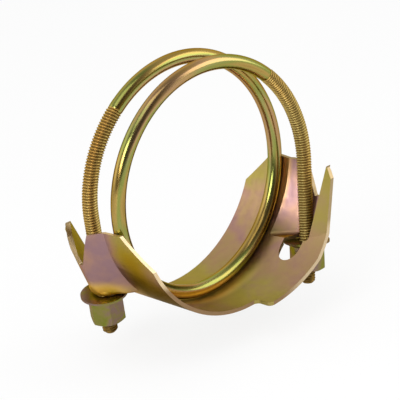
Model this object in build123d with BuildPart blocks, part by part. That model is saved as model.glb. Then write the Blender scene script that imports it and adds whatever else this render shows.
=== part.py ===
"""Double-bolt spiral hose clamp: a coiled round bar, a stamped saddle and two flange nuts.

The origin is the middle of the coil, the hose runs along Y and +Z is up. A half turn about Z
carries the clamp onto itself, so the right end (+X) is the left end (-X) turned round.
"""
from build123d import *
import math
import os

# Coiled bar (millimetres, degrees)
coil_radius = 60.0          # hose axis to the middle of the bar
coil_pitch = 20.4           # one turn along the hose
thread_pitch_round = 25.0   # the same where the thread is, as the legs spread
coil_turns = 1.5            # from one leg round to the other
bar_diameter = 7.5          # plain shank, as a rolled thread leaves it
thread_diameter = 7.94      # over the crests
thread_wrap = 44.0          # how far the thread runs up the coil past the horizontal
leg_wrap = 7.0              # how far the coil runs on below the horizontal, into the leg
seat_share = 0.7            # of the coil's radius: how far down the leg the nut's seat is
tip_reach = 7.0             # bar showing below the nut
tip_round = 1.8

# Flange nut
nut_bore_gap = 0.08         # radial, between the bore and the thread's crests
nut_flats = 16.2
nut_height = 16.4
nut_turn = 30.0             # how the flats sit about the leg
flange_diameter = 24.2
flange_rim = 1.1
flange_slope = 27.0         # of the flange's back
bore_bevel = 0.8
corner_bevel = 1.5          # height of the bevel on the free end's corners
corner_slope = 30.0

# Saddle plate
sheet = 2.0
bar_gap = 0.4               # between the bar and the trough, before the nuts are tightened
trough_half_width = 27.1
step_height = 9.7           # how far the wide part stands out where it starts
step_flare = 3.4            # and how much more beside the ear
step_place = 7.0            # from the middle of the saddle to the step
step_round = 3.0

# Groove pressed outwards for each leg, and the ear beside it
valley_place = 19.0         # along the hose
valley_rise = 9.35          # from the trough out to the valley's sharp inner corner, square to it
valley_lean = 20.6
valley_bend = 3.0           # inner faces; the outer ones are a sheet more
wall_place = 2.1            # along the hose: where the inner wall rises from the trough
fold_place = 28.1           # along the hose: where the outer wall folds into the ear
fold_drop = 2.85            # from the trough in to the ear's inner face, at its fold
fold_lean = 26.0
ear_turn = 8.0              # the ear's face stands further out towards its free edge
floor_bend = 3.0
pocket_radius = 7.0         # round end of the groove, about the leg
pocket_shift = 2.5          # its middle, from the leg towards the trough
pocket_height = 18.0
pocket_bend = 1.5
seat_gap = 0.02             # between the floor of the groove and the nut
pad_margin = 0.3            # of the flat coined for the nut, past the flange

# Slot in the groove's floor, along the seat
slot_width = 12.8
slot_outer_gap = 0.4        # beyond the bar
slot_inner_reach = 18.6     # from the bar's middle, into the trough
slot_rise = 3.5             # cut this far up the walls, past the seat

# End of the saddle seen from the side: place along the hose and depth below its axis
cut_low_depth = 25.9        # slanting corner of the trough side
cut_high_place = -10.5
cut_high_depth = 9.0
ridge_top_place = 3.0
ridge_top_depth = 9.9
wall_top_place = 9.0
wall_top_depth = 11.0
notch_depth = 29.0
notch_wall_place = 16.2     # the notch's floor runs from here
notch_ear_place = 18.4      # to here
notch_round = 1.0
ear_knee_place = 23.4
ear_knee_depth = 15.0
ear_tip_place = 28.0
ear_tip_depth = 8.8
ear_tip_round = 1.2
ear_shoulder_place = 32.6
ear_shoulder_depth = 14.8
widest_depth = 50.7

# Places that follow from the sizes
seat_down_leg = coil_radius * seat_share
groove_first = 180.0        # the groove's sections are drawn about the hose between these angles
groove_last = 238.0
groove_sections = 7
coil_runs = 6               # the plain coil is drawn in this many equal runs
bar_lap = 3.0               # of the thread's run, over the plain coil's
trough_radius = coil_radius + bar_diameter / 2 + bar_gap
valley_reach = trough_radius + valley_rise
fold_reach = trough_radius - fold_drop
step_half_width = trough_half_width + step_height
wide_half_width = step_half_width + step_flare
far = 3 * coil_radius       # beyond everything, for tools that cut right through


def on_coil(angle):
    """Point of the bar's middle line, at an angle past the left end's horizontal. The turns open
    out a little where the thread is."""
    coil_half = coil_turns * 180
    from_middle = angle - coil_half
    plain = min(max(from_middle, thread_wrap - coil_half), coil_half - thread_wrap)
    along = coil_pitch * plain + thread_pitch_round * (from_middle - plain)
    turn = math.radians(180 - angle)
    return Vector(coil_radius * math.cos(turn), -along / 360, coil_radius * math.sin(turn))


def bar_run(first, last, pitch):
    """Stretch of the coil between two angles, as a left-handed helix about the hose."""
    start = on_coil(first)
    hub = Vector(0, start.Y, 0)
    turn = Plane(origin=hub, x_dir=start - hub, z_dir=(0, -1, 0)).location
    return Edge.make_helix(pitch, pitch * (last - first) / 360, coil_radius,
                           lefthand=True).moved(turn)


thread_run = bar_run(-leg_wrap, thread_wrap + bar_lap, thread_pitch_round)
coil_end = thread_run @ 0
leg_way = -(thread_run % 0)                 # down the left leg
leg_length = seat_down_leg + nut_height + tip_reach
seat_centre = coil_end + leg_way * seat_down_leg
seat = Plane(origin=seat_centre, x_dir=(0, 1, 0), z_dir=leg_way)
fold_way = Vector(-math.cos(math.radians(fold_lean)), 0, -math.sin(math.radians(fold_lean)))
ear_face = Plane(origin=Vector(0, fold_place, 0) + fold_way * fold_reach, x_dir=(0, 1, 0),
                 z_dir=fold_way - Vector(0, math.tan(math.radians(ear_turn)), 0))
slot_outer_reach = thread_diameter / 2 + slot_outer_gap

# Bar: one round bar, coiled, with a rolled thread on each leg
with BuildPart() as clamp_rod:
    shank_angle = (coil_turns * 360 - 2 * thread_wrap) / coil_runs
    for number in range(coil_runs):
        begin = thread_wrap + number * shank_angle
        with BuildLine() as shank_line:
            add(bar_run(begin, begin + shank_angle, coil_pitch))
        with BuildSketch(Plane(origin=shank_line.line @ 0, z_dir=shank_line.line % 0)):
            Circle(bar_diameter / 2)
        sweep(path=shank_line.line, is_frenet=True, clean=False)
    with BuildPart(mode=Mode.PRIVATE) as left_thread:
        with BuildLine() as thread_line:
            add(thread_run)
            Line(coil_end, coil_end + leg_way * leg_length)
        with BuildSketch(Plane(origin=coil_end + leg_way * leg_length, z_dir=leg_way)):
            Circle(thread_diameter / 2)
        sweep(path=thread_line.wires()[0], is_frenet=True)
        fillet(left_thread.faces().sort_by(Axis(coil_end, leg_way))[-1:].edges(), tip_round)
    add(left_thread.part, clean=False)
    add(left_thread.part.rotate(Axis.Z, 180), clean=False)
clamp_rod.part.label = "clamp_rod"


def groove_section(angle, grow):
    """Groove cut square to the coil at an angle about the hose: two walls that meet in the valley,
    carried down into the trough."""
    turn = math.radians(angle)
    square = Plane(origin=(0, 0, 0), x_dir=(0, 1, 0), z_dir=(math.sin(turn), 0, -math.cos(turn)))
    valley = valley_reach / math.cos(turn - math.radians(180 + valley_lean))
    fold = fold_reach / math.cos(turn - math.radians(180 + fold_lean))
    base = trough_radius / 2
    wall_run = (valley_place - wall_place) / (valley - trough_radius)
    ear_run = (fold_place - valley_place) / (valley - fold)
    with BuildSketch(square) as section:
        with BuildLine():
            Polyline((valley_place - wall_run * (valley - base), base), (valley_place, valley),
                     (valley_place + ear_run * (valley - base), base), close=True)
        make_face()
        if grow:
            offset(amount=grow, kind=Kind.INTERSECTION)
        fillet(vertices().sort_by(Axis.Y)[-1:], valley_bend + grow)
    return section.sketch


def saddle_form(grow):
    """Body that the saddle is bent and pressed over, grown outwards: the trough's cylinder with a
    flat for the ear, the groove down to its floor, and the pocket at the groove's end."""
    floor = Plane(origin=seat.origin - leg_way * (sheet - grow + seat_gap),
                  x_dir=seat.x_dir, z_dir=-leg_way)
    with BuildPart() as groove:
        step = (groove_last - groove_first) / (groove_sections - 1)
        for number in range(groove_sections):
            add(groove_section(groove_first + number * step, grow))
        loft()
        split(bisect_by=floor, keep=Keep.TOP)
        rim = groove.faces().sort_by(Axis(floor.origin, floor.z_dir))[0].edges()
        fillet(rim.filter_by(GeomType.LINE, reverse=True), floor_bend + grow)
    with BuildPart() as pocket:
        with BuildSketch(floor):
            with Locations((0, -pocket_shift)):
                Circle(pocket_radius + grow)
        extrude(amount=pocket_height)
        fillet(pocket.faces().sort_by(Axis(floor.origin, floor.z_dir))[0].edges(), pocket_bend + grow)
    with BuildPart() as form:
        with BuildSketch(Plane.XZ):
            Circle(trough_radius + grow)
        extrude(amount=far / 2, both=True)
        with BuildSketch(ear_face.offset(grow)):
            with Locations((valley_place - fold_place + far / 2, 0)):
                Rectangle(far, far)
        extrude(amount=far, mode=Mode.SUBTRACT)
        add(groove.part)
        add(pocket.part)
    return form.part


# Saddle: one plate bent to the coil, with a groove and a slot for each leg
with BuildPart() as saddle_plate:
    add(saddle_form(sheet))
    add(saddle_form(0), mode=Mode.SUBTRACT)
    with BuildSketch(seat.offset(-seat_gap)):
        Circle(flange_diameter / 2 + pad_margin)
    extrude(amount=seat_down_leg, mode=Mode.SUBTRACT)
    with BuildSketch(Plane.YZ):
        with BuildLine():
            Polyline((-trough_half_width, -far), (-trough_half_width, -cut_low_depth),
                     (cut_high_place, -cut_high_depth), (ridge_top_place, -ridge_top_depth),
                     (wall_top_place, -wall_top_depth), (notch_wall_place, -notch_depth),
                     (notch_ear_place, -notch_depth), (ear_knee_place, -ear_knee_depth),
                     (ear_tip_place, -ear_tip_depth), (ear_shoulder_place, -ear_shoulder_depth),
                     (wide_half_width, -widest_depth), (wide_half_width, -far), close=True)
        make_face()
        fillet(vertices().filter_by_position(Axis.Y, -notch_depth, -notch_depth), notch_round)
        fillet(vertices().filter_by_position(Axis.X, ear_tip_place, ear_tip_place), ear_tip_round)
    extrude(amount=-far, mode=Mode.INTERSECT)
    with BuildSketch(Plane.XY):
        with BuildLine():
            Polyline((0, -trough_half_width), (0, trough_half_width), (-step_place, trough_half_width),
                     (-step_place, step_half_width), (-coil_radius * 0.7, wide_half_width),
                     (-far, wide_half_width), (-far, -trough_half_width), close=True)
        make_face()
        fillet(vertices().filter_by_position(Axis.X, -step_place, -step_place), step_round)
    extrude(amount=-far, mode=Mode.INTERSECT)
    slot_middle = (slot_inner_reach - slot_outer_reach) / 2
    with BuildSketch(seat.offset(-slot_rise)):
        with Locations((0, slot_middle)):
            SlotOverall(slot_inner_reach + slot_outer_reach, slot_width, rotation=90)
    extrude(amount=trough_radius / 3, mode=Mode.SUBTRACT)
    add(saddle_plate.part.rotate(Axis.Z, 180))
saddle_plate.part.label = "saddle_plate"

# Flange nut: hexagon and flange in one, the flange against the saddle
nut_side = Plane(origin=seat.origin, x_dir=seat.x_dir, z_dir=seat.x_dir.cross(seat.z_dir))
with BuildPart() as left_flange_nut:
    with BuildSketch(seat):
        RegularPolygon(nut_flats / 2, 6, major_radius=False, rotation=nut_turn)
    extrude(amount=nut_height)
    with BuildSketch(nut_side):
        with BuildLine():
            corner = nut_flats / 2 / math.cos(math.radians(30))
            bevel_in = corner - corner_bevel / math.tan(math.radians(corner_slope))
            Polyline((0, 0), (corner, 0), (corner, nut_height - corner_bevel),
                     (bevel_in, nut_height), (0, nut_height), close=True)
        make_face()
    revolve(axis=Axis(seat.origin, seat.z_dir), mode=Mode.INTERSECT)
    with BuildSketch(nut_side):
        with BuildLine():
            flange = flange_diameter / 2
            cone_foot = nut_flats / 2 - corner_bevel
            cone_height = flange_rim + (flange - cone_foot) * math.tan(math.radians(flange_slope))
            Polyline((0, 0), (flange, 0), (flange, flange_rim), (cone_foot, cone_height),
                     (0, cone_height), close=True)
        make_face()
    revolve(axis=Axis(seat.origin, seat.z_dir))
    with BuildSketch(seat):
        Circle(thread_diameter / 2 + nut_bore_gap)
    extrude(amount=nut_height, mode=Mode.SUBTRACT)
    chamfer(left_flange_nut.edges().filter_by(GeomType.CIRCLE).filter_by(
        lambda edge: edge.radius < thread_diameter), bore_bevel)
left_flange_nut.part.label = "left_flange_nut"

right_flange_nut = left_flange_nut.part.rotate(Axis.Z, 180)
right_flange_nut.label = "right_flange_nut"

os.makedirs("parts", exist_ok=True)
export_step(clamp_rod.part, "parts/clamp_rod.step")
export_step(saddle_plate.part, "parts/saddle_plate.step")
export_step(left_flange_nut.part, "parts/left_flange_nut.step")
export_step(right_flange_nut, "parts/right_flange_nut.step")
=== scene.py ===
"""Looks for the spiral hose clamp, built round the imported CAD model. Lengths are in metres."""
import math

import bpy
import numpy as np
from mathutils import Matrix, Vector


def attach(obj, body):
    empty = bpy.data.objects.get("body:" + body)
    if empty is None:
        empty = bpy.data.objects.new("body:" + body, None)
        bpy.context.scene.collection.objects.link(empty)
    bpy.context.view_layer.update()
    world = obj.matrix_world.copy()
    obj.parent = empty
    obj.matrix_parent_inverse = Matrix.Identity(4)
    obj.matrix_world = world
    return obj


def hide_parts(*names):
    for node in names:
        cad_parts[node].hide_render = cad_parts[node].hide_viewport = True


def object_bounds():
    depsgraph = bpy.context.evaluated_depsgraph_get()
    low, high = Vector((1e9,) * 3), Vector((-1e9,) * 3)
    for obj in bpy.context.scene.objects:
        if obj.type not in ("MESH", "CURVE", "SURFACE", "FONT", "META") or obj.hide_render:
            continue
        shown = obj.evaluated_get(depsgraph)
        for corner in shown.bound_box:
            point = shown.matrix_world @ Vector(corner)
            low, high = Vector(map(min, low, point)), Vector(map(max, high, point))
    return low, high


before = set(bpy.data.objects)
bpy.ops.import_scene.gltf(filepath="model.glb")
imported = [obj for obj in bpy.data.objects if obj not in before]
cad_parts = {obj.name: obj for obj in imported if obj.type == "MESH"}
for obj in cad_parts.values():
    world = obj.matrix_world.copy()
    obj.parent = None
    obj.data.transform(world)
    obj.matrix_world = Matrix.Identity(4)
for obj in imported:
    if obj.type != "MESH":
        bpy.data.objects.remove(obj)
cad_low, cad_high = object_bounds()

# Coiled bar, plain shank. One round steel bar is wound left-handed on a mandrel of the hose's
# size, one and a half turns, and its ends are let down as two nearly straight legs. It is zinc
# plated and yellow chromated, so it is glossy gold with green and pink running along it.
COIL_RADIUS = 0.060
COIL_HALF = math.radians(270)           # from the bar's middle, under the hose, round to a side
COIL_RISE = 0.0204 / (2 * math.pi)      # along the hose, for each radian
THREAD_RISE = 0.0250 / (2 * math.pi)    # the same where the thread is
THREAD_WRAP = math.radians(44)          # of the coil, up to the side
LEG_WRAP = math.radians(7)              # and past it, down to the straight leg
BAR_HALF = COIL_HALF + LEG_WRAP
PLAIN_HALF = COIL_HALF - THREAD_WRAP
PLAIN_STEP = math.hypot(COIL_RADIUS, COIL_RISE)         # along the bar, for each radian
THREAD_STEP = math.hypot(COIL_RADIUS, THREAD_RISE)
THREAD_ARC = (BAR_HALF - PLAIN_HALF) * THREAD_STEP
COIL_LENGTH = 2 * THREAD_ARC + 2 * PLAIN_HALF * PLAIN_STEP
HOSE_AXIS = np.array([0, 1, 0])
SHANK_RADIUS = 0.00375
SHANK_STEP = 0.0012
SHANK_COLUMNS = 48
THREAD_PAST = 0.0045                    # of thread above the part with the wider rise
RUN_OUT = 0.0016                        # the shank tapers in under the thread's last turns
RUN_OUT_RADIUS = 0.0031


def bar_frame(arc):
    """Point, normal and binormal of the bar's middle line, for distances from the left leg's end
    of the coil. The line is a left-handed helix about the hose's axis: its angle grows with the
    distance and its place along the hose falls with the angle, faster where the thread is. Past
    either end it goes on straight along its tangent. The normal points away from the axis."""
    angle = np.interp(arc, [0, THREAD_ARC, COIL_LENGTH - THREAD_ARC, COIL_LENGTH],
                      [-BAR_HALF, -PLAIN_HALF, PLAIN_HALF, BAR_HALF])
    held = np.clip(angle, -PLAIN_HALF, PLAIN_HALF)
    along = -(COIL_RISE * held + THREAD_RISE * (angle - held))
    rise = np.where(np.abs(angle) > PLAIN_HALF, THREAD_RISE, COIL_RISE)
    turn = -math.pi / 2 - angle
    normal = np.stack([np.cos(turn), 0 * turn, np.sin(turn)], -1)
    sideways = np.stack([np.sin(turn), 0 * turn, -np.cos(turn)], -1)
    tangent = COIL_RADIUS * sideways - rise[..., None] * HOSE_AXIS
    tangent /= np.linalg.norm(tangent, axis=-1, keepdims=True)
    straight = arc - np.clip(arc, 0, COIL_LENGTH)
    point = COIL_RADIUS * normal + along[..., None] * HOSE_AXIS + straight[..., None] * tangent
    return point, normal, np.cross(tangent, normal)


def around_bar(arc, radius, turn):
    """Points of a round form on the bar: the middle line's point, plus the radius times the
    cosine of the turn along the normal and its sine along the binormal."""
    point, normal, binormal = bar_frame(arc)
    return point + radius[..., None] * (np.cos(turn)[:, None] * normal
                                        + np.sin(turn)[:, None] * binormal)


def bar_place(length, turn):
    """Place on the bar for its finish: the length along it, and the turn's cosine and sine."""
    return np.stack(np.broadcast_arrays(length, np.cos(turn), np.sin(turn)), -1)


def mesh_piece(name, points, quads, material, body, measures):
    """Puts a grid of points and its quads into a smooth-shaded mesh object that rides on a CAD
    body. Points in one place are made one first, so that seams and poles close: a quad with one
    side shrunk to nothing becomes a triangle, and one with two such sides goes. measures holds a
    number or a vector for each point, as named attributes."""
    spots = points.reshape(-1, 3)
    _, first, number = np.unique(np.round(spots, 7), axis=0, return_index=True,
                                 return_inverse=True)
    quads = number.ravel()[quads]
    shrunk = quads == np.roll(quads, -1, axis=1)
    whole = quads[shrunk.sum(1) == 0]
    corner = shrunk.sum(1) == 1
    triangles = quads[corner][~shrunk[corner]].reshape(-1, 3)
    mesh = bpy.data.meshes.new(name)
    mesh.from_pydata(spots[first], [], whole.tolist() + triangles.tolist())
    for title, values in measures.items():
        vector = values.ndim > 2
        layer = mesh.attributes.new(title, "FLOAT_VECTOR" if vector else "FLOAT", "POINT")
        kept = values.reshape(len(spots), -1)[first].astype(np.float32)
        layer.data.foreach_set("vector" if vector else "value", kept.ravel())
    mesh.polygons.foreach_set("use_smooth", np.ones(len(mesh.polygons), bool))
    mesh.update()
    piece = bpy.data.objects.new(name, mesh)
    bpy.context.scene.collection.objects.link(piece)
    mesh.materials.append(material)
    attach(piece, body)
    return piece


def tube_faces(rows, columns, shift=0):
    """Quads of a tube whose grid has rows along it and columns round it. With a shift, the grid
    is wound like a thread: the last column joins the first one that many rows further on."""
    row, column = np.meshgrid(np.arange(rows - 1), np.arange(columns), indexing="ij")
    across = (column + 1) % columns
    lift = np.where(column == columns - 1, shift, 0)
    quads = np.stack([row * columns + column, (row + lift) * columns + across,
                      (row + 1 + lift) * columns + across, (row + 1) * columns + column], -1)
    return quads[(row + 1 + lift) < rows]


def node_maker(owner):
    """Short way to add a node to a material or a world: it sets the node's settings and its
    inputs, these by value or by link, and gives the node back."""
    tree = owner.node_tree

    def add(kind, inputs=(), **settings):
        node = tree.nodes.new("ShaderNode" + kind)
        for key, value in settings.items():
            setattr(node, key, value)
        for socket, value in dict(inputs).items():
            if isinstance(value, bpy.types.NodeSocket):
                tree.links.new(value, node.inputs[socket])
            else:
                node.inputs[socket].default_value = value
        return node

    return add


def colour_ramp(node, stops):
    """Sets a colour ramp's stops from (place, linear colour) pairs."""
    ramp = node.color_ramp
    while len(ramp.elements) > 1:
        ramp.elements.remove(ramp.elements[-1])
    ramp.elements[0].position = stops[0][0]
    ramp.elements[0].color = (*stops[0][1], 1)
    for place, colour in stops[1:]:
        ramp.elements.new(place).color = (*colour, 1)


GRAZING_TINT = (0.60, 0.46, 0.28)
NOISE_LOW = 0.3                         # most of a noise lies between these two
NOISE_HIGH = 0.7


def chromated_metal(name):
    """New metal material, with the tint that chromate has at a grazing angle."""
    material = bpy.data.materials.new(name)
    material.use_nodes = True
    shader = material.node_tree.nodes["Principled BSDF"]
    shader.inputs["Metallic"].default_value = 1.0
    shader.inputs["Specular Tint"].default_value = (*GRAZING_TINT, 1)
    return material


def feed_shader(material, outputs):
    """Links each named socket of the material's shader to the output given for it."""
    shader = material.node_tree.nodes["Principled BSDF"]
    for socket, output in outputs.items():
        material.node_tree.links.new(output, shader.inputs[socket])


BAR_STOPS = [(0.00, (0.28, 0.18, 0.04)), (0.20, (0.42, 0.28, 0.08)), (0.38, (0.26, 0.28, 0.065)),
             (0.52, (0.32, 0.31, 0.10)), (0.64, (0.45, 0.295, 0.115)),
             (0.80, (0.41, 0.245, 0.12)), (1.00, (0.42, 0.26, 0.06))]
BAND_STRETCH = (14.0, 0.75, 0.75)       # bands in a metre of the bar, and in its radius
BAND_SHIFT = (41.0, 0, 0)
BAND_LOW = 0.28                         # the noise's level at the ramp's first stop
BAND_REACH = 0.44                       # and from there to its last one
DRAW_MARKS = 9.0                        # in a band
DRAW_DEPTH = 0.0004


def bar_plating(name, stops, roughness, marks):
    """Glossy chromate over zinc on the bar: colour bands that run along the bar, drawn from noise
    on the place along it and round it, with fine draw marks in the roughness and in the bump,
    where marks is their strength."""
    material = chromated_metal(name)
    add = node_maker(material)
    place = add("Attribute", attribute_name="bar_place")
    stretched = add("VectorMath", {0: place.outputs["Vector"], 1: BAND_STRETCH, 2: BAND_SHIFT},
                    operation="MULTIPLY_ADD")
    bands = add("TexNoise", {"Vector": stretched.outputs[0], "Scale": 1.0, "Detail": 2.0,
                             "Roughness": 0.45})
    ramp = add("ValToRGB", {"Fac": bands.outputs["Fac"]})
    colour_ramp(ramp, [(BAND_LOW + BAND_REACH * stop, colour) for stop, colour in stops])
    fine = add("TexNoise", {"Vector": stretched.outputs[0], "Scale": DRAW_MARKS, "Detail": 4.0})
    smear = add("MapRange", {"Value": fine.outputs["Fac"],
                             "From Min": NOISE_LOW, "From Max": NOISE_HIGH,
                             "To Min": roughness * 0.8, "To Max": roughness * 1.25})
    bump = add("Bump", {"Height": fine.outputs["Fac"], "Strength": marks,
                        "Distance": DRAW_DEPTH})
    feed_shader(material, {"Base Color": ramp.outputs["Color"], "Roughness": smear.outputs[0],
                           "Normal": bump.outputs["Normal"]})
    return material


shank_start = THREAD_ARC + THREAD_PAST
shank_end = COIL_LENGTH - shank_start
shank_arc = np.linspace(shank_start, shank_end, int((shank_end - shank_start) / SHANK_STEP))
shank_arc = np.concatenate([[shank_start - RUN_OUT] * 2, shank_arc, [shank_end + RUN_OUT] * 2])
shank_radius = np.full(len(shank_arc), SHANK_RADIUS)
shank_radius[[0, 1, -2, -1]] = [0, RUN_OUT_RADIUS, RUN_OUT_RADIUS, 0]
shank_turn = np.arange(SHANK_COLUMNS) * 2 * math.pi / SHANK_COLUMNS
shank_points = around_bar(shank_arc[:, None], shank_radius[:, None], shank_turn)
bar_finish = bar_plating("bar chromate", BAR_STOPS, roughness=0.20, marks=0.03)
coil_shank = mesh_piece("coil_shank", shank_points, tube_faces(len(shank_arc), SHANK_COLUMNS),
                        bar_finish, "clamp",
                        {"bar_place": bar_place(shank_arc[:, None], shank_turn)})
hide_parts("clamp_rod")

# Threads. Each leg and the side of the coil above it carry a rolled right-handed thread, 18 turns
# to the inch, which fades out into the shank and ends in a small bevel at the tip. The chromate
# lies thicker on the thread, which is a browner brass, and painted shade darkens its roots and its
# end at the tip.
LEG_LENGTH = 0.0654
THREAD_PITCH = 0.001411
CREST_RADIUS = 0.00397
THREAD_DEPTH = 0.00060
VALLEY_STEEPNESS = 1.25
CREST_SHARE = 0.12                      # taken off the V, which leaves the crest flat
THREAD_ROWS = 8                         # for each turn
THREAD_COLUMNS = 40
THREAD_LAP = 0.0010                     # past the shank's start
LEAD_TURNS = 2                          # of rows before the tip, which close it
TAIL_TURNS = 5                          # and past the far end
TIP_BEVEL = 0.0016
TIP_RADIUS = 0.0024
FADE_TURNS = 2.0
FADE_DROP = 0.0006
END_RADIUS = 0.0030
TIP_SHADE_FULL = 0.0048                       # the painted shade on the tip is full up to here
TIP_SHADE_GONE = 0.0128                      # and gone from here on
THREAD_STOPS = [(0.00, (0.54, 0.30, 0.07)), (0.35, (0.56, 0.375, 0.11)),
                (0.60, (0.54, 0.42, 0.14)), (1.00, (0.55, 0.44, 0.16))]
# painted shade: the thread's roots and its tip are darkened towards this colour
THREAD_SHADE_COLOUR = (0.21, 0.13, 0.035)
MIX_SHARE = 0                           # sockets of a Mix node that mixes colours
MIX_UNDER = 6
MIX_OVER = 7
MIX_RESULT = 2


def thread_points(direction):
    """Grid of a threaded end from its tip up to the shank, its place on the bar, and its share of
    the painted shade, which darkens the thread's roots and the end at the tip. Each row follows the
    thread: the distance from the tip is the row's own plus a pitch for each turn round the bar,
    held at zero and at the far end. The radius is the crest's less the depth times a rounded V of
    the part turn, limited by the tip's bevel and let down into the shank, and it shrinks to nothing
    past either end. The direction is 1 for the left leg and -1 for the right one, which is the left
    one turned half round the vertical axis."""
    reach = LEG_LENGTH + shank_start + THREAD_LAP
    turns = int(reach / THREAD_PITCH) + LEAD_TURNS + TAIL_TURNS
    row = (np.arange(turns * THREAD_ROWS) / THREAD_ROWS - LEAD_TURNS) * THREAD_PITCH
    turn = np.arange(THREAD_COLUMNS) * 2 * math.pi / THREAD_COLUMNS
    raw = row[:, None] + THREAD_PITCH * turn / (2 * math.pi)
    distance = np.clip(raw, 0, reach)
    fade = np.clip((reach - distance) / (FADE_TURNS * THREAD_PITCH), 0, 1)
    phase = row[:, None] / THREAD_PITCH % 1
    valley = np.clip(VALLEY_STEEPNESS * (1 - np.abs(2 * phase - 1)) - CREST_SHARE, 0, 1)
    valley = valley * valley * (3 - 2 * valley)
    radius = (CREST_RADIUS - FADE_DROP * (1 - fade)
              - THREAD_DEPTH * valley * np.clip(2 * fade, 0, 1))
    bevel = TIP_RADIUS + (CREST_RADIUS - TIP_RADIUS) * distance / TIP_BEVEL
    radius = np.minimum(radius, bevel)
    closing_tip = np.clip(TIP_RADIUS + raw * TIP_RADIUS / THREAD_PITCH, 0, None)
    closing_end = np.clip(END_RADIUS - (raw - reach), 0, None)
    radius = np.where(raw < 0, closing_tip, np.where(raw > reach, closing_end, radius))
    points = around_bar(distance - LEG_LENGTH, radius, turn) * [direction, direction, 1]
    # Painted shade over the end at the tip, which faces down, away from the light.
    tip_shade = np.clip((TIP_SHADE_GONE - distance) / (TIP_SHADE_GONE - TIP_SHADE_FULL), 0, 1)
    return points, bar_place(distance, turn), np.maximum(valley * fade, tip_shade)


def tint_over(material, share, tint):
    """Lays a plain tint over the colour that the material has so far, as far as the share says."""
    add = node_maker(material)
    base = material.node_tree.nodes["Principled BSDF"].inputs["Base Color"]
    mixed = add("Mix", {MIX_SHARE: share, MIX_UNDER: base.links[0].from_socket,
                        MIX_OVER: (*tint, 1)}, data_type="RGBA")
    feed_shader(material, {"Base Color": mixed.outputs[MIX_RESULT]})


thread_finish = bar_plating("thread chromate", THREAD_STOPS, roughness=0.42, marks=0.0)
# Painted shade, full in the thread's roots and over the tip, laid over the thread's colour.
root = node_maker(thread_finish)("Attribute", attribute_name="thread_shade")
tint_over(thread_finish, root.outputs["Fac"], THREAD_SHADE_COLOUR)
for side, direction in (("left", 1), ("right", -1)):
    points, place, shade_share = thread_points(direction)
    mesh_piece(side + "_thread", points,
               tube_faces(len(points), THREAD_COLUMNS, THREAD_ROWS),
               thread_finish, "clamp",
               {"bar_place": place, "thread_shade": shade_share})

# Saddle. A strip of steel sheet is blanked, pressed and bent in one stroke, so its faces are satin.
# The chromate dries in wide soft patches, olive where it is thin and mauve where it is thick. The
# bar has rubbed its groove bright. Painted light brightens a strip along the middle of the groove,
# a painted highlight brightens the tight bends, the ear side's rim and the cut ends, and painted
# shade darkens the sheet underneath, the ears' cut ends and the right end's cut, so that the cut
# ends are bright on the left and dull on the right.
SADDLE_STOPS = [(0.30, (0.36, 0.29, 0.065)), (0.42, (0.38, 0.30, 0.085)),
                (0.50, (0.38, 0.275, 0.11)), (0.60, (0.41, 0.262, 0.135)),
                (0.70, (0.39, 0.225, 0.17)), (0.85, (0.31, 0.185, 0.195))]
PATCH_NOISE = (0.36, 0.86)              # the noise's levels that the spread covers
MOTTLE_FINENESS = 6                     # times finer than the patches
MOTTLE_SHARE = 0.22
GRAIN_SCALE = 2600.0                    # grains in a metre
GRAIN_STRENGTH = 0.10
GRAIN_DEPTH = 0.0002

# Where the saddle's finish changes: each place is the product of smooth rises from 0 to 1, and
# each rise is a measure with its start and end. The measures are out, from the middle towards
# either end; across, along the hose, which is below zero on the side of that end's ear; up, from
# the hose's axis; and level, how far the sheet faces up.
SADDLE_PLACES = {
    "upper sheet": [("up", -0.034, -0.020)],
    "upper ear": [("across", -0.018, -0.024), ("up", -0.050, -0.030)],
    "panel": [("across", 0.010, -0.003), ("across", -0.021, -0.017)],
    "panel face": [("up", -0.046, -0.036)],
    "way out": [("out", 0.012, 0.034)],
    "wall": [("across", -0.004, 0.012), ("across", 0.028, 0.014), ("out", 0.030, 0.052),
             ("up", -0.008, -0.024)],
    # painted highlight in the tight bends over the nuts
    "bend highlight": [("up", -0.038, -0.045), ("across", -0.002, -0.011), ("out", 0.030, 0.052)],
    "inner sheet": [("up", -0.042, -0.026)],
    # painted light on a strip along the middle of the groove, next to the bar
    "strip": [("across", -0.0045, -0.001), ("across", 0.004, 0.001)],
    "rubbed": [("level", 0.55, 0.80), ("out", 0.036, 0.020), ("across", -0.0125, -0.0075),
               ("across", 0.0125, 0.0075)],
    # painted shade under the sheet
    "underside shade": [("across", -0.004, 0.008), ("up", -0.026, -0.042)],
    # painted highlight on the cut rim of the ear side
    "rim": [("out", 0.014, 0.034)],
    "foot": [("up", -0.040, -0.033)],
    "ear": [("across", -0.014, -0.019)],
}
SADDLE_TINTS = {                        # each with the most that it covers
    "wall": ((0.37, 0.23, 0.012), 0.85),
    # painted highlight in the tight bends over the nuts
    "bend highlight": ((0.95, 0.61, 0.08), 0.8),
    # painted light on a strip along the middle of the groove, next to the bar
    "strip": ((0.75, 0.44, 0.14), 0.8),
    "rubbed": ((0.70, 0.55, 0.16), 0.8),
    # painted shade under the sheet
    "underside shade": ((0.07, 0.05, 0.012), 0.85),
    "side cut": ((0.30, 0.19, 0.10), 1.0),
    # painted highlight on the cut rim of the ear side
    "rim cut highlight": ((0.66, 0.52, 0.33), 0.9),
    # painted highlight on the cut ends
    "end cut highlight": ((0.85, 0.68, 0.42), 0.9),
    # painted shade on the ears' cut ends and on the whole cut end at the right
    "ear and right end cut shade": ((0.34, 0.25, 0.13), 0.9),
}
OUT_SHIFT = 0.20                        # towards mauve on the ramp
PANEL_SHIFT = 0.16
UPPER_SHIFT = 0.22                      # towards olive
FACES_OUT = 0.05                        # least share of the normal that makes an outer face
FACES_SIDE = 0.96                       # and least of it along the hose at a side cut
FACES_END = 0.03                        # and most of it along the saddle at an end cut


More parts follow.
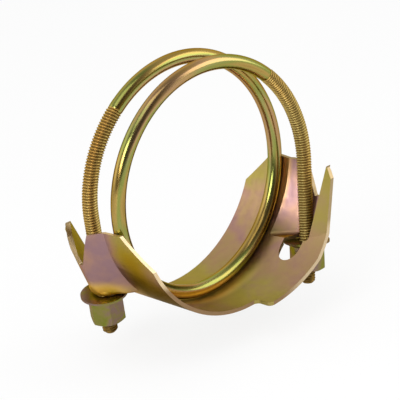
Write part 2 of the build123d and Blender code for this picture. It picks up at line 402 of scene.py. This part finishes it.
def sheet_plating(name, stops, patch, middle, spread, roughness):
    """Satin chromate over zinc: soft patches a given size across from warped noise with a finer
    mottle over it, which move the ramp's level from its middle by as much as the spread, and a
    dull grain in the roughness and bump. Returns the material, and its level and ramp nodes."""
    material = chromated_metal(name)
    add = node_maker(material)
    where = add("TexCoord")
    wide = add("TexNoise", {"Vector": where.outputs["Object"], "Scale": 1 / patch, "Detail": 2.0,
                            "Distortion": 0.6})
    mottle = add("TexNoise", {"Vector": where.outputs["Object"],
                              "Scale": MOTTLE_FINENESS / patch, "Detail": 5.0})
    both = add("Math", {0: mottle.outputs["Fac"], 1: MOTTLE_SHARE, 2: wide.outputs["Fac"]},
               operation="MULTIPLY_ADD")
    level = add("MapRange", {"Value": both.outputs[0],
                             "From Min": PATCH_NOISE[0], "From Max": PATCH_NOISE[1],
                             "To Min": middle - spread, "To Max": middle + spread}, clamp=False)
    ramp = add("ValToRGB", {"Fac": level.outputs[0]})
    colour_ramp(ramp, stops)
    grain = add("TexNoise", {"Vector": where.outputs["Object"], "Scale": GRAIN_SCALE,
                             "Detail": 3.0})
    rough = add("MapRange", {"Value": mottle.outputs["Fac"],
                             "From Min": NOISE_LOW, "From Max": NOISE_HIGH,
                             "To Min": roughness - 0.05, "To Max": roughness + 0.07})
    bump = add("Bump", {"Height": grain.outputs["Fac"], "Strength": GRAIN_STRENGTH,
                        "Distance": GRAIN_DEPTH})
    feed_shader(material, {"Base Color": ramp.outputs["Color"], "Roughness": rough.outputs[0],
                           "Normal": bump.outputs["Normal"]})
    return material, level, ramp


def finish_node(name, material):
    """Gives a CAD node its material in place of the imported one."""
    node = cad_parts[name]
    node.data.materials.clear()
    node.data.materials.append(material)


def saddle_plating():
    """The saddle's chromate. Its ramp's level is shifted towards mauve on the way out and on the
    two end panels, and towards olive in the trough and on the ears. Tints go over that: gold on
    the walls and where the bar has rubbed, a painted highlight of bright gold in the tight bends
    over the nuts, painted light on a strip along the middle of the groove, painted shade under the
    sheet, and paler or browner metal on the cuts, which are told by the way they face. Of the cuts,
    the ear side's rim and the cut ends carry a painted highlight, and the ears' cut ends and the
    right end's cut carry painted shade."""
    material, level, ramp = sheet_plating("saddle chromate", SADDLE_STOPS, patch=0.020,
                                          middle=0.43, spread=0.15, roughness=0.38)
    add = node_maker(material)

    def reckon(kind, one, two=0):
        """Result of a sum on one or two values."""
        return add("Math", {0: one, 1: two}, operation=kind).outputs[0]

    def times(*shares):
        """Product of the shares."""
        product = shares[0]
        for share in shares[1:]:
            product = reckon("MULTIPLY", product, share)
        return product

    where = add("TexCoord")
    spot = add("SeparateXYZ", {0: where.outputs["Object"]})
    faces = add("SeparateXYZ", {0: where.outputs["Normal"]})
    end = reckon("SIGN", spot.outputs["X"])
    measures = {"out": reckon("ABSOLUTE", spot.outputs["X"]),
                "across": times(spot.outputs["Y"], end),
                "up": spot.outputs["Z"],
                "level": faces.outputs["Z"]}

    def place(name):
        """Share of a named place: the product of its smooth rises."""
        return times(*[add("MapRange", {"Value": measures[measure], "From Min": start,
                                        "From Max": stop},
                           interpolation_type="SMOOTHSTEP").outputs[0]
                       for measure, start, stop in SADDLE_PLACES[name]])

    panel = place("panel")
    upper = reckon("MAXIMUM", place("upper sheet"), place("upper ear"))
    mauve = times(panel, place("panel face"), PANEL_SHIFT)
    olive = times(upper, reckon("SUBTRACT", 1, panel), UPPER_SHIFT)
    shift = reckon("ADD", times(place("way out"), OUT_SHIFT), reckon("SUBTRACT", mauve, olive))
    shifted = reckon("ADD", level.outputs[0], shift)
    material.node_tree.links.new(shifted, ramp.inputs["Fac"])

    outside = reckon("GREATER_THAN", times(faces.outputs["X"], end), FACES_OUT)
    inside = times(place("inner sheet"), reckon("SUBTRACT", 1, outside))
    side_cut = reckon("GREATER_THAN", reckon("ABSOLUTE", faces.outputs["Y"]), FACES_SIDE)
    ear_side = reckon("LESS_THAN", measures["across"], 0)
    end_face = reckon("LESS_THAN", reckon("ABSOLUTE", faces.outputs["X"]), FACES_END)
    end_cut = times(place("foot"), end_face)
    # Of these shares, the bends, the strip, the rim and the cut ends carry painted light; the sheet
    # underneath, the ears' cut ends and the right end's cut carry painted shade.
    shares = {"wall": times(place("wall"), outside),
              "bend highlight": times(place("bend highlight"), outside),
              "strip": times(place("strip"), inside),
              "rubbed": place("rubbed"),
              "underside shade": times(place("underside shade"), outside),
              "side cut": side_cut,
              "rim cut highlight": times(place("rim"), side_cut, ear_side),
              "end cut highlight": end_cut,
              "ear and right end cut shade": times(end_cut, reckon("MAXIMUM", place("ear"), end))}
    for name, (tint, most) in SADDLE_TINTS.items():
        tint_over(material, times(shares[name], most), tint)
    return material


finish_node("saddle_plate", saddle_plating())

# Nuts. Each is a cold-formed hexagon with its flange in one piece, zinc plated and chromated with
# the rest, so the flats carry small mauve and green patches. It is run up the leg's thread until
# it bears under the saddle's groove.
NUT_STOPS = [(0.30, (0.19, 0.205, 0.03)), (0.45, (0.235, 0.205, 0.06)),
             (0.60, (0.245, 0.165, 0.115)), (0.74, (0.24, 0.16, 0.14))]
nut_finish, _, _ = sheet_plating("nut chromate", NUT_STOPS, patch=0.0095, middle=0.47,
                                 spread=0.32, roughness=0.32)
for side in ("left", "right"):
    finish_node(side + "_flange_nut", nut_finish)

# Studio. A pale floor, low enough for a nut at the end of its run, a white surround that the
# camera and the metal see, and four soft lamps: a key on the left, a fill on the right, one
# behind and one on top.
VIEW_AZIMUTH = math.radians(42.67)
VIEW_ELEVATION = math.radians(19.76)
VIEW_ROLL = math.radians(-5.23)
VIEW_DISTANCE = 1.0615
PIXELS = 400
FOCAL_PIXELS = 2100
AIM_PIXEL = (0.87, 24.3)                # the picture's middle, from the coil's centre
SENSOR_WIDTH = 36.0                     # in millimetres
FLOOR_HALF = 3.0
NUT_DROP = 0.0142                       # from the tips down to a nut at the end of its run
FLOOR_GREY = (0.80, 0.80, 0.80, 1)
FLOOR_SEEN_PALE = 0.82                  # how far the floor is lightened for the camera
FLOOR_MIRRORED_PALE = 0.22              # and for reflections


def camera_axes():
    """Unit vectors of the view: right, up and forward. Forward is set by azimuth and elevation,
    and the level and upright directions across it are turned about it by the roll."""
    forward = Vector((math.sin(VIEW_AZIMUTH) * math.cos(VIEW_ELEVATION),
                      math.cos(VIEW_AZIMUTH) * math.cos(VIEW_ELEVATION),
                      -math.sin(VIEW_ELEVATION)))
    level = Vector((math.cos(VIEW_AZIMUTH), -math.sin(VIEW_AZIMUTH), 0))
    upright = level.cross(forward)
    right = math.cos(VIEW_ROLL) * level + math.sin(VIEW_ROLL) * upright
    up = math.cos(VIEW_ROLL) * upright - math.sin(VIEW_ROLL) * level
    return right, up, forward


right, up, forward = camera_axes()
aim = (forward * FOCAL_PIXELS + right * AIM_PIXEL[0] - up * AIM_PIXEL[1]).normalized()
aim_right = aim.cross(up).normalized()
camera_turn = Matrix((aim_right, aim_right.cross(aim), -aim)).transposed().to_4x4()
camera_data = bpy.data.cameras.new("camera")
camera_data.sensor_width = SENSOR_WIDTH
camera_data.lens = SENSOR_WIDTH * FOCAL_PIXELS / PIXELS
camera_data.clip_start = 0.05
camera_data.clip_end = 20.0
camera = bpy.data.objects.new("camera", camera_data)
camera.matrix_world = Matrix.Translation(-forward * VIEW_DISTANCE) @ camera_turn
bpy.context.scene.collection.objects.link(camera)
bpy.context.scene.camera = camera


def floor_finish():
    """Pale floor: a matt surface that takes the clamp's shadow, lightened for the camera and for
    reflections so that it meets the white surround."""
    material = bpy.data.materials.new("floor")
    material.use_nodes = True
    add = node_maker(material)
    material.node_tree.nodes.clear()
    path = add("LightPath")
    mirrored = add("Math", {0: path.outputs["Is Glossy Ray"], 1: FLOOR_MIRRORED_PALE},
                   operation="MULTIPLY")
    matt = add("BsdfDiffuse", {"Color": FLOOR_GREY})
    glow = add("Emission", {"Color": (1, 1, 1, 1), "Strength": 1.0})
    share = add("Math", {0: path.outputs["Is Camera Ray"], 1: FLOOR_SEEN_PALE,
                         2: mirrored.outputs[0]}, operation="MULTIPLY_ADD")
    mix = add("MixShader", {0: share.outputs[0], 1: matt.outputs[0], 2: glow.outputs[0]})
    output = add("OutputMaterial", {"Surface": mix.outputs[0]})
    output.is_active_output = True
    return material


floor_level = cad_low.z - NUT_DROP
floor_corners = [(FLOOR_HALF * x, FLOOR_HALF * y, floor_level)
                 for x, y in ((-1, -1), (1, -1), (1, 1), (-1, 1))]
floor_mesh = bpy.data.meshes.new("floor")
floor_mesh.from_pydata(floor_corners, [], [(0, 1, 2, 3)])
floor_mesh.materials.append(floor_finish())
floor = bpy.data.objects.new("floor", floor_mesh)
bpy.context.scene.collection.objects.link(floor)

SURROUND_STOPS = [(0.00, (1, 1, 1)), (0.74, (1, 1, 1)), (0.92, (0.6, 0.6, 0.6)),
                  (1.00, (0.4, 0.4, 0.4))]          # from the foot up to straight overhead
UNLIT_FROM = 0.15                       # cosines between which the surround's strength falls
UNLIT_TO = 0.85
UNLIT_LEAST = 0.09
ROOM_LIGHT = 0.85


def pale_surround():
    """World that is white to the camera and an even light on matt surfaces. The metal mirrors a
    surround that is white round about, greyer overhead, and unlit on the side that the photograph
    was taken from: its strength falls as the cosine between its direction and that side grows."""
    world = bpy.data.worlds.new("studio")
    world.use_nodes = True
    add = node_maker(world)
    path = add("LightPath")
    seen = add("Math", {0: path.outputs["Is Camera Ray"],
                        1: path.outputs["Is Transmission Ray"]}, operation="MAXIMUM")
    way = add("TexCoord")
    height = add("SeparateXYZ", {0: way.outputs["Generated"]})
    backdrop = add("ValToRGB", {"Fac": height.outputs["Z"]})
    colour_ramp(backdrop, SURROUND_STOPS)
    towards = add("VectorMath", {0: way.outputs["Generated"], 1: tuple(-forward)},
                  operation="DOT_PRODUCT")
    unlit = add("MapRange", {"Value": towards.outputs["Value"],
                             "From Min": UNLIT_FROM, "From Max": UNLIT_TO,
                             "To Min": 1.0, "To Max": UNLIT_LEAST},
                interpolation_type="SMOOTHSTEP")
    mirrored = add("Math", {0: backdrop.outputs["Color"], 1: unlit.outputs[0]},
                   operation="MULTIPLY")
    lit = add("Mix", {0: path.outputs["Is Glossy Ray"], 2: ROOM_LIGHT, 3: mirrored.outputs[0]})
    strength = add("Mix", {0: seen.outputs[0], 2: lit.outputs[0], 3: 1.0})
    surround = world.node_tree.nodes["Background"]
    surround.inputs["Color"].default_value = (1, 1, 1, 1)
    world.node_tree.links.new(strength.outputs[0], surround.inputs["Strength"])
    return world


bpy.context.scene.world = pale_surround()

LAMPS = [("key lamp", (-0.95, -0.30, 0.45), 0.45, 4.7),         # place, side and watts
         ("fill lamp", (0.75, -0.75, 0.55), 0.8, 4.0),
         ("back lamp", (-0.80, 0.85, 0.40), 0.8, 1.2),
         ("top lamp", (-0.45, -0.25, 1.0), 0.7, 2.2)]


def soft_lamp(name, place, size, power):
    """Square area lamp that looks at the clamp."""
    lamp = bpy.data.lights.new(name, "AREA")
    lamp.size = size
    lamp.energy = power
    holder = bpy.data.objects.new(name, lamp)
    holder.matrix_world = (Matrix.Translation(place)
                           @ Vector(place).to_track_quat("Z", "Y").to_matrix().to_4x4())
    bpy.context.scene.collection.objects.link(holder)


for name, place, size, power in LAMPS:
    soft_lamp(name, place, size, power)

bpy.context.scene.view_settings.view_transform = "Standard"
